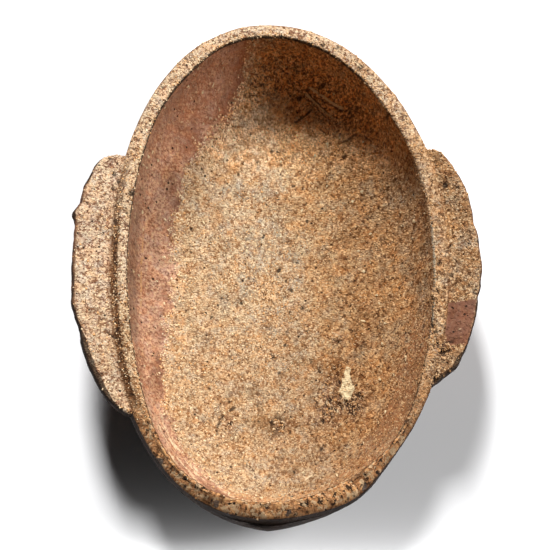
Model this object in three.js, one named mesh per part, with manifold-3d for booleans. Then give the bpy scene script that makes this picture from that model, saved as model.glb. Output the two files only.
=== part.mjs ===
import * as THREE from 'three';
import { LoftGeometry } from 'three/addons/geometries/LoftGeometry.js';
import { mergeVertices } from 'three/addons/utils/BufferGeometryUtils.js';
import Module from 'manifold-3d';

// An oval dish of fired clay with a long flat ear along each side, made and fired as one piece.
// Millimetres, +Z up. +Y runs to the far end of the oval and +X to the dish's right side. The origin
// is the middle of the foot's flat underside.

// Bowl
const rimLength = 128;
const rimWidth = 84.8;
const rimHeight = 31;       // at the middle of the long sides
const rimEndRise = 2;       // how much higher the lip is at the two ends
const rimBow = 3.1;         // the clay sagged: the rim's middle stands this far to the right
const lipFar = 2.5;         // thickness of the lip at the far end, at the sides and at the near end
const lipSide = 4.3;
const lipNear = 4;
const lipRound = 1.7;       // rounding of the lip's outer edge
const lipBevel = 0.4;       // bevel of its inner edge

// Foot and floor
const footLength = 74;
const footWidth = 42;
const footStep = 1.5;       // the foot's low upright edge
const floorLength = 69;
const floorWidth = 38.6;
const floorShift = 1.3;     // how far the floor's middle lies towards the far end
const floorThickness = 5;

// Ears
const earThickness = 5;     // where an ear leaves the wall
const earEdgeThickness = 4.4;
const earRoot = 2.4;        // how deep an ear's root lies in the wall
const earDrop = 1.2;        // how far an ear's top lies below the lip where it leaves the wall
const earLift = 2.4;        // how far the ear's outer edge stands above the lip
const leftEar = { side: -1, length: 66.5, middle: -3.6, reach: 9.6, farEnd: [3.2, 4.3], nearEnd: [1.9, 2.4] };
const rightEar = { side: 1, length: 61, middle: 0.7, reach: 7.5, farEnd: [1.4, 4], nearEnd: [1.4, 4] };
const breakSlope = 1.15;    // the right ear's near end broke off along a slant: outward to lengthwise

// How square the ovals and how full the wall's curves are: 2 is an ellipse, more is squarer
const rimSquareness = 2.1;
const footSquareness = 2.1;
const outerFullness = 2.8;
const innerFullness = 2.35;
const earEdgeSquareness = 3.4;

// Fineness of the faceted surface
const pointsAround = 104;
const wallSteps = 11;
const lipSteps = 3;
const earRows = 26;
const earPointsAround = 16;

const clayColour = 0xc3a07a;

// The bowl's outlines. Each is an oval that may reach further to one end than to the other.
const footOutline = {
	half: footWidth / 2,
	far: footLength / 2,
	near: footLength / 2,
	squareness: footSquareness
};

const floorOutline = {
	...footOutline,
	half: floorWidth / 2,
	far: floorLength / 2 + floorShift,
	near: floorLength / 2 - floorShift
};

const rimOutline = {
	half: rimWidth / 2,
	far: rimLength / 2,
	near: rimLength / 2,
	squareness: rimSquareness
};

const mouthOutline = {
	...rimOutline,
	half: rimOutline.half - lipSide,
	far: rimOutline.far - lipFar,
	near: rimOutline.near - lipNear
};

// An outline drawn in by a distance on every side.
function drawnIn(outline, distance) {

	return {
		...outline,
		half: outline.half - distance,
		far: outline.far - distance,
		near: outline.near - distance
	};

}

// An outline shrunk to its middle point, which closes a flat surface.
const middleOf = (outline) => ({ ...outline, half: 0, far: 0, near: 0 });

// The outline that lies a share of the way from one outline to another.
function between(inner, outer, share) {

	const mixed = {};
	for (const key of Object.keys(inner)) mixed[key] = THREE.MathUtils.lerp(inner[key], outer[key], share);
	return mixed;

}

const signedPower = (value, power) => Math.sign(value) * Math.abs(value) ** power;

// Height of the lip at a place along the dish: level at the sides and rising to both ends.
const lipHeight = (y) => rimHeight + rimEndRise * Math.abs(y / rimOutline.far) ** 3;

// How far the sagged wall stands to the right at a place along the dish and a height.
const bowAt = (y, z) => rimBow * (1 - (y / rimOutline.far) ** 2) * z / rimHeight;

// One closed level of the bowl's surface. heightAt gives the height for a place along the dish.
function level(outline, heightAt) {

	const points = [];
	for (let i = 0; i < pointsAround; i++) {

		const angle = 2 * Math.PI * i / pointsAround;
		const power = 2 / outline.squareness;
		const end = Math.sin(angle) >= 0 ? outline.far : outline.near;
		const y = end * signedPower(Math.sin(angle), power);
		const z = heightAt(y);
		const x = outline.half * signedPower(Math.cos(angle), power) + bowAt(y, z);
		points.push(new THREE.Vector3(x, y, z));

	}

	return points;

}

// The levels of a wall that starts flat at a lower outline and ends upright at an upper one:
// a superellipse quarter whose fullness says how square the turn from floor to wall is.
function wallLevels(lower, upper, bottom, topAt, fullness) {

	const levels = [];
	for (let i = 0; i <= wallSteps; i++) {

		const turn = Math.PI / 2 * i / wallSteps;
		const reach = Math.sin(turn) ** (2 / fullness);
		const rise = i === wallSteps ? 1 : 1 - Math.cos(turn) ** (2 / fullness);
		const heightAt = (y) => THREE.MathUtils.lerp(bottom, topAt(y), rise);
		levels.push(level(between(lower, upper, reach), heightAt));

	}

	return levels;

}

// The lip's rounded outer edge, its flat top and its bevelled inner edge.
function lipLevels(round) {

	const levels = [];
	for (let i = 1; i <= lipSteps; i++) {

		const turn = Math.PI / 2 * i / lipSteps;
		const heightAt = (y) => lipHeight(y) - round * (1 - Math.sin(turn));
		levels.push(level(drawnIn(rimOutline, round * (1 - Math.cos(turn))), heightAt));

	}

	levels.push(level(drawnIn(mouthOutline, -lipBevel), lipHeight));
	return levels;

}

// The bowl from the middle of its underside up the outside, over the lip and down the inside to the
// middle of its floor.
function bowlGeometry() {

	const round = Math.min(lipRound, 0.6 * Math.min(lipFar, lipSide, lipNear));
	const outside = wallLevels(footOutline, rimOutline, footStep, (y) => lipHeight(y) - round, outerFullness);
	const inside = wallLevels(floorOutline, mouthOutline, floorThickness,
		(y) => lipHeight(y) - lipBevel, innerFullness);
	return new LoftGeometry([
		level(middleOf(footOutline), () => 0),
		level(footOutline, () => 0),
		...outside,
		...lipLevels(round),
		...inside.reverse(),
		level(middleOf(floorOutline), () => floorThickness)
	]);

}

// Where the bowl's outer wall stands at the lip, on one side, at a place along the dish.
function wallAt(side, y) {

	const share = (1 - Math.abs(y / rimOutline.far) ** rimSquareness) ** (1 / rimSquareness);
	return side * rimOutline.half * share + bowAt(y, rimHeight);

}

// How far an ear stands out of the wall. along runs from 1 at its far end to -1 at its near end, and
// the end's two exponents say how blunt the outline's end is. The right ear's near end is broken.
function earOutreach(ear, along) {

	const [bluntness, squareness] = along >= 0 ? ear.farEnd : ear.nearEnd;
	const whole = ear.reach * (1 - Math.abs(along) ** bluntness) ** (1 / squareness);
	const fromNearEnd = (1 + along) * ear.length / 2;
	return ear === rightEar ? Math.min(whole, breakSlope * fromNearEnd) : whole;

}

// An ear: sections across it from its far end to its near end, from its root in the wall out to its
// rounded edge, rising outwards.
function earGeometry(ear) {

	const sections = [];
	for (let row = 0; row <= earRows; row++) {

		const along = Math.cos(Math.PI * row / earRows);
		const y = ear.middle + along * ear.length / 2;
		const outreach = earOutreach(ear, along);
		const root = wallAt(ear.side, y) - ear.side * earRoot;
		const edge = wallAt(ear.side, y) + ear.side * outreach;
		const rootTop = lipHeight(y) - earDrop;
		const section = [];
		for (let i = 0; i < earPointsAround; i++) {

			const turn = 2 * Math.PI * i / earPointsAround;
			const across = signedPower(Math.cos(turn), 2 / earEdgeSquareness);
			const upward = signedPower(Math.sin(turn), 2 / earEdgeSquareness);
			const x = (root + edge) / 2 + Math.abs(edge - root) / 2 * across;
			const outward = Math.max(0, ear.side * (x - wallAt(ear.side, y))) / ear.reach;
			const top = rootTop + (earDrop + earLift) * outward;
			const thickness = THREE.MathUtils.lerp(earThickness, earEdgeThickness, outward);
			section.push(new THREE.Vector3(x, y, top - thickness * (1 - upward) / 2));

		}

		sections.push(section);

	}

	return new LoftGeometry(sections, { capStart: true, capEnd: true });

}

const wasm = await Module();
wasm.setup();

// A closed geometry as a solid: its shared corners merged and its empty triangles left out.
function solidOf(geometry) {

	const plain = new THREE.BufferGeometry();
	plain.setAttribute('position', geometry.attributes.position);
	plain.setIndex(geometry.index);
	const merged = mergeVertices(plain, 1e-4);
	const corners = merged.index.array;
	const kept = [];
	for (let i = 0; i < corners.length; i += 3) {

		const [a, b, c] = corners.subarray(i, i + 3);
		if (a !== b && b !== c && c !== a) kept.push(a, b, c);

	}

	return new wasm.Manifold(new wasm.Mesh({
		numProp: 3,
		vertProperties: new Float32Array(merged.attributes.position.array),
		triVerts: new Uint32Array(kept)
	}));

}

const dish = solidOf(bowlGeometry()).add(solidOf(earGeometry(leftEar))).add(solidOf(earGeometry(rightEar)));
const dishMesh = dish.getMesh();
const dishGeometry = new THREE.BufferGeometry();
dishGeometry.setAttribute('position', new THREE.BufferAttribute(new Float32Array(dishMesh.vertProperties), 3));
dishGeometry.setIndex(new THREE.BufferAttribute(new Uint32Array(dishMesh.triVerts), 1));
dishGeometry.computeVertexNormals();

const earedDish = new THREE.Mesh(
	dishGeometry,
	new THREE.MeshStandardMaterial({ color: clayColour, roughness: 0.95, metalness: 0 })
);
earedDish.name = 'eared_dish';

const model = new THREE.Group();
model.add(earedDish);

export default model;
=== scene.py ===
import math

import bpy
import numpy as np
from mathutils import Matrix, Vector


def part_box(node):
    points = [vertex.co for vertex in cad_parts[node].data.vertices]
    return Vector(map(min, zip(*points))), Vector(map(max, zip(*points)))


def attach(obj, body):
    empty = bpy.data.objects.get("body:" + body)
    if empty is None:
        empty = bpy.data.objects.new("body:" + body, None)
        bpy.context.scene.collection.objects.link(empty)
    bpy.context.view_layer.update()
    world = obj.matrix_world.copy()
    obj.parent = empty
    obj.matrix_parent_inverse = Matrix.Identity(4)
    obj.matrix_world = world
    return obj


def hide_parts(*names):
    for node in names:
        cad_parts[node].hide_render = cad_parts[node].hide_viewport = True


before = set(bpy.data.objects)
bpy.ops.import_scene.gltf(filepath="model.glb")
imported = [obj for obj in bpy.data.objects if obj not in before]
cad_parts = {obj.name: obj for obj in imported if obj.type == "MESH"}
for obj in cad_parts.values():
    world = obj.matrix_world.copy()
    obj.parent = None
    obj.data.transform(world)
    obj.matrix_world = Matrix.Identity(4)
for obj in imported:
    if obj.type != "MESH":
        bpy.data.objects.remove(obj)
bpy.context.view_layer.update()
mm = 0.001
print("frame loaded")

# The fired clay body. Lengths in mm, as in the solid that it stands for.
low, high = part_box("eared_dish")
dish = {
    "rimLength": (high.y - low.y) / mm,
    "rimWidth": 84.8,
    "rimHeight": 31.0,
    "rimEndRise": 2.0,
    "rimBow": 3.1,          # the sagged rim's middle stands this far to the right
    "lipFar": 2.5,
    "lipSide": 4.3,
    "lipNear": 4.0,
    "lipRound": 1.5,
    "lipBevel": 0.4,
    "footLength": 74.0,
    "footWidth": 42.0,
    "footStep": 1.5,
    "floorLength": 69.0,
    "floorWidth": 38.6,
    "floorShift": 1.3,
    "floorHeight": 5.0,
    "squareness": 2.1,      # 2 is an ellipse
    "outerFullness": 2.8,
    "innerFullness": 2.35,
    "fineColumns": 672,     # around the lip, the ears and the inner wall
    "undersideRows": 4,
    "stepRows": 2,
    "outerRows": 17,
    "earRows": (9, 9, 21),  # underside, edge and top of an ear
    "lipRows": (6, 8, 2),   # rounded outer edge, flat top and bevel
    "innerRows": 58,
    "floorRows": 41,
}

# Reach and outline of the two ears. Bumps are (place along Y, amount, half width) on the outer edge.
ears = {
    "thickness": 5.0,
    "edgeThickness": 4.4,
    "drop": 1.2,            # the ear's top below the lip where it leaves the wall
    "lift": 2.4,            # its outer edge above the lip
    "breakSlope": 1.15,     # slant of the broken near end of the right ear
    "left": {"side": -1, "length": 66.5, "middle": -3.6, "reach": 9.6, "farEnd": (3.2, 4.3),
             "nearEnd": (1.9, 2.4),
             "bumps": ((13.6, 1.1, 1.5), (18.0, -0.3, 1.6), (-9.5, 0.5, 1.8), (-15.5, -0.5, 1.8),
                       (24.0, -0.5, 2.4), (-33.5, 0.5, 1.6))},
    "right": {"side": 1, "length": 61.0, "middle": 0.7, "reach": 7.5, "farEnd": (1.4, 4.0),
              "nearEnd": (1.4, 4.0),
              "bumps": ((-1.5, 0.35, 3.0), (12.0, -0.3, 2.2), (-8.0, -0.25, 1.2), (20.0, 0.3, 2.0))},
}


def signedPower(value, power):
    return np.sign(value) * np.abs(value) ** power


def noise(points, cell, seed):
    # smooth noise from 0 to 1: a random value at each corner of a cube lattice, faded between corners
    scaled = points / cell
    corner = np.floor(scaled).astype(np.int64)
    inside = scaled - corner
    fade = inside ** 3 * (inside * (inside * 6 - 15) + 10)
    table = np.random.default_rng(seed).random(8191)
    total = 0.0
    for shift in np.ndindex(2, 2, 2):
        at = corner + shift
        picked = table[(at[..., 0] * 73856093 + at[..., 1] * 19349663 + at[..., 2] * 83492791) % 8191]
        total = total + picked * np.prod(np.where(shift, fade, 1 - fade), axis=-1)
    return total


def layeredNoise(points, cell, layers, seed):
    # sum of noises, each with half the cell and half the weight of the one before, from -1 to 1
    weights = 0.5 ** np.arange(layers)
    total = sum(w * (noise(points, cell * w, seed + i) * 2 - 1) for i, w in enumerate(weights))
    return total / weights.sum()


def smooth(value, start, end):
    # 0 before start, 1 after end and the usual cubic ease between
    share = np.clip((value - start) / (end - start), 0, 1)
    return share * share * (3 - 2 * share)


def oval(angle, half, far, near):
    # superellipse x = half cos^(2/n), y = end sin^(2/n), where far and near ends may differ
    power = 2 / dish["squareness"]
    end = np.where(np.sin(angle) >= 0, far, near)
    return half * signedPower(np.cos(angle), power), end * signedPower(np.sin(angle), power)


rimHalf, rimEnd = dish["rimWidth"] / 2, dish["rimLength"] / 2
mouth = (rimHalf - dish["lipSide"], rimEnd - dish["lipFar"], rimEnd - dish["lipNear"])
footEdge = (dish["footWidth"] / 2, dish["footLength"] / 2, dish["footLength"] / 2)
floorEdge = (dish["floorWidth"] / 2, dish["floorLength"] / 2 + dish["floorShift"],
             dish["floorLength"] / 2 - dish["floorShift"])


def lipHeight(y):
    return dish["rimHeight"] + dish["rimEndRise"] * np.abs(y / rimEnd) ** 3


def bowAt(y, z):
    return dish["rimBow"] * (1 - (y / rimEnd) ** 2) * z / dish["rimHeight"]


def columnAngles(count):
    # angles at even steps along the rim, crowded at the ears' four ends: the running sum of rim
    # length times crowding, read back at even steps
    fine = np.linspace(0, 2 * np.pi, 30001)
    x, y = oval(fine, rimHalf, rimEnd, rimEnd)
    crowding = np.ones(len(fine))
    for ear in (ears["left"], ears["right"]):
        for end in (0.5, -0.5):
            away = y - ear["middle"] - end * ear["length"]
            crowding += 2.5 * (x * ear["side"] > 0) * np.exp(-(away / 1.6) ** 2)
    steps = np.hypot(np.diff(x), np.diff(y)) * (crowding[1:] + crowding[:-1]) / 2
    total = np.concatenate([[0.0], np.cumsum(steps)])
    return np.interp(np.arange(count) / count * total[-1], total, fine)


def earReach(ear, y):
    # half-moon outline (1 - |v|^p)^(1/q) of the place v along the ear, with bumps added, and on the
    # right ear cut by the slanting break
    along = np.clip((y - ear["middle"]) / (ear["length"] / 2), -1, 1)
    p = np.where(along >= 0, ear["farEnd"][0], ear["nearEnd"][0])
    q = np.where(along >= 0, ear["farEnd"][1], ear["nearEnd"][1])
    share = (1 - np.abs(along) ** p) ** (1 / q)
    reach = ear["reach"] * share
    for place, amount, halfWidth in ear["bumps"]:
        reach = reach + amount * share * np.exp(-((y - place) / halfWidth) ** 2)
    if ear["side"] > 0:
        reach = np.minimum(reach, ears["breakSlope"] * (1 + along) * ear["length"] / 2)
    wander = np.stack([y, y * 0, y * 0 + ear["side"]], axis=-1)
    reach = reach + 0.16 * share * layeredNoise(wander, 2.6, 3, 31)
    return np.maximum(reach, 0)


def place(angle, outline, z):
    # points at a height on an oval outline, with the sagged wall's bow to the right
    x, y = oval(angle, *outline)
    return np.stack(np.broadcast_arrays(x + bowAt(y, z), y, z), axis=-1)


def mixOutline(inner, outer, share):
    return tuple(a + (b - a) * share for a, b in zip(inner, outer))


def wallShare(rise, fullness):
    # superellipse quarter: how far out the wall stands for a share of its height
    return (1 - (1 - np.clip(rise, 0, 1)) ** fullness) ** (1 / fullness)


def evenSteps(x, y, count):
    # even steps along the curve x, y, as the curve's own places from 0 to 1
    total = np.concatenate([[0.0], np.cumsum(np.hypot(np.diff(x), np.diff(y)))])
    return np.interp(np.linspace(0, total[-1], count), total, np.linspace(0, 1, len(x)))


def outsideRows(angle):
    # underside from near its middle to the foot's edge, the upright step and the outer wall up to
    # the ears' underside, as rows of points
    column = angle[None, :]
    lipZ = lipHeight(oval(column, rimHalf, rimEnd, rimEnd)[1])
    share = np.linspace(0, 1, dish["undersideRows"] + 1)[1:, None]
    under = place(column, mixOutline((0, 0, 0), footEdge, share), 0 * share + 0 * column)
    rise = np.linspace(0, 1, dish["stepRows"] + 1)[1:-1, None]
    step = place(column, footEdge, dish["footStep"] * rise + 0 * column)
    wallTop = lipZ - ears["drop"] - ears["thickness"]
    power = 2 / dish["outerFullness"]
    turn = np.linspace(0, 1.49, 400)
    even = evenSteps(np.sin(turn) ** power, 1 - np.cos(turn) ** power, dish["outerRows"])
    turn = (even * turn[-1])[:, None]
    climb = (1 - np.cos(turn) ** power) / (1 - np.cos(turn[-1]) ** power)
    z = dish["footStep"] + (wallTop - dish["footStep"]) * climb
    share = wallShare((z - dish["footStep"]) / (lipZ - dish["lipRound"] - dish["footStep"]),
                      dish["outerFullness"])
    wall = place(column, mixOutline(footEdge, (rimHalf, rimEnd, rimEnd), share), z)
    return np.concatenate([under, step, wall])


def earRows(angle):
    # the band of wall that the ears grow from. Each ear's section goes out along its underside,
    # round its edge and back along its top: reach times cos^0.2 out and sin^0.67 up. Away from the
    # ears the same rows climb the plain wall.
    column = angle[None, :]
    x, y = oval(column, rimHalf, rimEnd, rimEnd)
    lipZ = lipHeight(y)
    reach = np.where(x < 0, earReach(ears["left"], y), earReach(ears["right"], y))
    fullReach = np.where(x < 0, ears["left"]["reach"], ears["right"]["reach"])
    turn = np.linspace(-np.pi / 2, np.pi / 2, 4000)
    outCurve = np.cos(turn) ** 0.2
    upCurve = signedPower(np.sin(turn), 0.667)
    parts = np.cumsum((0,) + dish["earRows"])
    along = np.interp(np.arange(parts[-1] + 1), parts, (0, 0.38, 0.62, 1))
    arc = np.concatenate([[0], np.cumsum(np.hypot(np.diff(outCurve * 9), np.diff(upCurve * 2.4)))])
    at = np.interp(along * arc[-1], arc, np.arange(len(turn)))
    out = np.interp(at, np.arange(len(turn)), outCurve)[1:, None]
    up = np.interp(at, np.arange(len(turn)), upCurve)[1:, None]
    outward = out * reach / fullReach
    top = lipZ - ears["drop"] + (ears["drop"] + ears["lift"]) * outward
    thick = ears["thickness"] + (ears["edgeThickness"] - ears["thickness"]) * outward
    earZ = top - thick * (1 - up) / 2
    plainZ = lipZ - ears["drop"] - ears["thickness"] * (1 - along[1:, None])
    z = plainZ + (earZ - plainZ) * smooth(reach, 0.0, 2.2)
    wall = place(column, (rimHalf, rimEnd, rimEnd), z)
    wall[..., 0] += np.sign(x) * out * reach
    isEar = np.broadcast_to(smooth(reach, 0.3, 1.5), wall.shape[:2])
    outShare = np.broadcast_to(out * reach, wall.shape[:2])
    upShare = np.broadcast_to(up, wall.shape[:2])
    return wall, isEar, outShare, upShare


def lipRows(angle):
    # quarter-round outer edge, flat top narrowing to the mouth's outline, small bevel
    column = angle[None, :]
    lipZ = lipHeight(oval(column, rimHalf, rimEnd, rimEnd)[1])
    roundRows, flatRows, bevelRows = dish["lipRows"]
    radius = dish["lipRound"]
    turn = np.linspace(math.asin(1 - ears["drop"] / radius), np.pi / 2, roundRows + 1)[1:, None]
    inset = radius * (1 - np.cos(turn))
    edge = place(column, (rimHalf - inset, rimEnd - inset, rimEnd - inset),
                 lipZ - radius * (1 - np.sin(turn)))
    outer = (rimHalf - radius, rimEnd - radius, rimEnd - radius)
    inner = tuple(size + dish["lipBevel"] for size in mouth)
    share = np.linspace(0, 1, flatRows + 1)[1:, None]
    flat = place(column, mixOutline(outer, inner, share), lipZ + 0 * share)
    share = np.linspace(0, 1, bevelRows + 1)[1:, None]
    bevel = place(column, mixOutline(inner, mouth, share ** 2), lipZ - dish["lipBevel"] * share)
    return np.concatenate([edge, flat, bevel])


def innerRows(angle):
    # superellipse quarter from the mouth down to the floor's edge, at even steps
    column = angle[None, :]
    lipZ = lipHeight(oval(column, rimHalf, rimEnd, rimEnd)[1]) - dish["lipBevel"]
    power = 2 / dish["innerFullness"]
    turn = np.linspace(np.pi / 2, 0, 600)
    # the wall is about 19 mm out by 26 mm high
    even = evenSteps(np.sin(turn) ** power * 19, np.abs(np.cos(turn)) ** power * 26,
                     dish["innerRows"] + 1)
    turn = (np.pi / 2 * (1 - even))[1:, None]
    rise = 1 - np.cos(turn) ** power
    share = np.sin(turn) ** power
    z = dish["floorHeight"] + (lipZ - dish["floorHeight"]) * rise
    return place(column, mixOutline(floorEdge, mouth, share), z)


def floorRows(angle):
    # the floor's outline shrunk evenly towards its middle
    share = (1 - np.linspace(0, 1, dish["floorRows"] + 2)[1:-1, None]) + 0 * angle[None, :]
    outline = mixOutline((0, 0, 0), floorEdge, share)
    return place(angle[None, :], outline, 0 * share + dish["floorHeight"])


def bandFaces(start, rows, columns):
    # quads between neighbouring rows of one band
    row, column = np.meshgrid(np.arange(rows - 1), np.arange(columns), indexing="ij")
    right = (column + 1) % columns
    corners = (row * columns + column, row * columns + right,
               (row + 1) * columns + right, (row + 1) * columns + column)
    return np.stack(corners, axis=-1).reshape(-1, 4) + start


def narrowingFaces(coarseStart, fineStart, count, coarseFirst):
    # three triangles for each coarse step, between a row and one with twice as many points
    k = np.arange(count)
    c0, c1 = coarseStart + k, coarseStart + (k + 1) % count
    f0, f1, f2 = fineStart + 2 * k, fineStart + 2 * k + 1, fineStart + (2 * k + 2) % (2 * count)
    if coarseFirst:
        parts = ((c0, c1, f1), (c0, f1, f0), (c1, f2, f1))
    else:
        parts = ((f0, f1, c0), (f1, f2, c1), (f1, c1, c0))
    return np.concatenate([np.stack(part, axis=-1) for part in parts])


def poleFaces(pole, start, count, poleFirst):
    # a fan of triangles between a pole and the row beside it
    k = np.arange(count)
    a, b = start + k, start + (k + 1) % count
    middle = np.full(count, pole)
    return np.stack((middle, b, a) if poleFirst else (a, b, middle), axis=-1)


def dishSurface():
    # the whole skin as one closed grid: pole, outside, ears, lip, inner wall, floor, pole. zone tells
    # the bands apart: 0 outside, 1 ears' band, 2 lip, 3 inner wall, 4 floor
    fine = columnAngles(dish["fineColumns"])
    coarse = fine[::2]
    earBand, isEar, outShare, upShare = earRows(fine)
    bands = (outsideRows(coarse), earBand, lipRows(fine), innerRows(fine), floorRows(coarse))
    bottomPole = np.array([[0, 0, 0.0]])
    topPole = np.array([[bowAt(0, dish["floorHeight"]), 0, dish["floorHeight"]]])
    points = np.concatenate([bottomPole] + [band.reshape(-1, 3) for band in bands] + [topPole])
    rowCounts = [len(band) for band in bands]
    sizes = [band.shape[0] * band.shape[1] for band in bands]
    starts = 1 + np.concatenate([[0], np.cumsum(sizes)])
    count = len(coarse)
    fineStart, fineRowCount = starts[1], sum(rowCounts[1:4])
    quads = np.concatenate([
        bandFaces(starts[0], rowCounts[0], count),
        bandFaces(fineStart, fineRowCount, 2 * count),
        bandFaces(starts[4], rowCounts[4], count),
    ])
    lastOutside = starts[1] - count
    lastInner = starts[4] - 2 * count
    lastFloor = starts[5] - count
    triangles = np.concatenate([
        poleFaces(0, starts[0], count, True),
        narrowingFaces(lastOutside, fineStart, count, True),
        narrowingFaces(starts[4], lastInner, count, False),
        poleFaces(len(points) - 1, lastFloor, count, False),
    ])
    zone = np.concatenate([[0]] + [np.full(size, i) for i, size in enumerate(sizes)] + [[4]])
    angle = np.zeros(len(points))
    for i, (rows, start, size) in enumerate(zip(rowCounts, starts, sizes)):
        angle[start:start + size] = np.tile(fine if i in (1, 2, 3) else coarse, rows)
    earParts = np.zeros((3, len(points)))
    for part, values in zip(earParts, (isEar, outShare, upShare)):
        part[starts[1]:starts[2]] = values.ravel()
    return points, quads, triangles, zone, angle, earParts


def meshObject(name, points, faces):
    mesh = bpy.data.meshes.new(name)
    mesh.from_pydata((points * mm).tolist(), [], faces)
    mesh.update()
    piece = bpy.data.objects.new(name, mesh)
    bpy.context.scene.collection.objects.link(piece)
    return piece


def pointNormals(mesh):
    normals = np.zeros(len(mesh.vertices) * 3, np.float32)
    mesh.vertex_normals.foreach_get("vector", normals)
    return normals.reshape(-1, 3).astype(float)


def setPoints(mesh, points):
    mesh.vertices.foreach_set("co", (points * mm).astype(np.float32).ravel())
    mesh.update()


def addMask(mesh, name, values):
    attribute = mesh.attributes.new(name, "FLOAT", "POINT")
    attribute.data.foreach_set("value", np.clip(values, 0, 1).astype(np.float32))


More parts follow.
